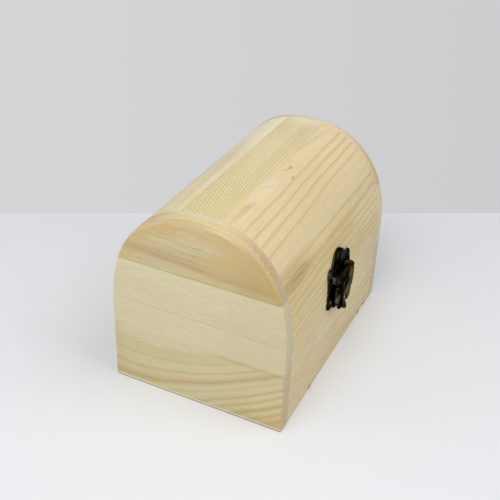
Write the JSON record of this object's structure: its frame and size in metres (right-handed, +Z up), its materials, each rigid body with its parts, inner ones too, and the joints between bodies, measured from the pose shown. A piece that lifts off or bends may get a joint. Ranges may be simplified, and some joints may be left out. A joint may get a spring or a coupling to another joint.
{
  "type": "wooden treasure chest box",
  "caption": "Small unfinished pine chest box with an arched staved lid on two rear hinges and a dark bronze hasp latch in front.",
  "frame": {"origin": "centre of the chest's underside, on the surface that it stands on", "axes": "+X along the chest's length, +Y from the latch at the front to the hinges at the back, +Z up"},
  "size_m": [0.1164, 0.0881, 0.09],
  "materials": {
    "pale_pine": "bare sanded pine, pale",
    "brown_pine": "bare sanded pine, browner with fine lines",
    "stave_pine": "bare sanded pine with orange growth lines",
    "front_pine": "bare sanded pine with dense growth lines",
    "panel_wood": "bare thin panel",
    "dark_bronze": "near-black antique bronze plating, rubbed at the edges",
    "hinge_bronze": "dark antique bronze plating"
  },
  "bodies": {
    "base": {"base_end_left": "pale_pine", "base_end_right": "pale_pine", "base_front": "front_pine", "base_back": "front_pine", "base_bottom": "panel_wood", "hinge_left_base_leaf": "hinge_bronze", "hinge_left_pin": "hinge_bronze", "hinge_right_base_leaf": "hinge_bronze", "hinge_right_pin": "hinge_bronze", "hinge_base_nail_1": "hinge_bronze", "hinge_base_nail_2": "hinge_bronze", "hinge_base_nail_3": "hinge_bronze", "hinge_base_nail_4": "hinge_bronze", "hasp_base_plate": "dark_bronze", "hasp_base_nail_1": "dark_bronze", "hasp_base_nail_2": "dark_bronze"},
    "lid": {"lid_front_board": "front_pine", "lid_front_stave": "stave_pine", "lid_crown_stave": "stave_pine", "lid_back_stave": "stave_pine", "lid_back_board": "front_pine", "lid_end_left_lower": "pale_pine", "lid_end_left_upper": "brown_pine", "lid_end_right_lower": "pale_pine", "lid_end_right_upper": "brown_pine", "hinge_left_lid_leaf": "hinge_bronze", "hinge_right_lid_leaf": "hinge_bronze", "hinge_lid_nail_1": "hinge_bronze", "hinge_lid_nail_2": "hinge_bronze", "hinge_lid_nail_3": "hinge_bronze", "hinge_lid_nail_4": "hinge_bronze", "hasp_lid_plate": "dark_bronze", "hasp_pin": "dark_bronze", "hasp_lid_nail_1": "dark_bronze", "hasp_lid_nail_2": "dark_bronze"},
    "hasp": {"hasp_flap": "dark_bronze"}
  },
  "joints": [
    {"name": "lid_hinge", "type": "hinge", "parent": "base", "child": "lid", "pos_m": [0, 0.04145, 0.043], "axis": [-1, 0, 0], "range_deg": [0, 105]},
    {"name": "hasp_hinge", "type": "hinge", "parent": "lid", "child": "hasp", "pos_m": [-0.0027, -0.04265, 0.0484], "axis": [-1, 0, 0], "range_deg": [0, 170]}
  ]
}
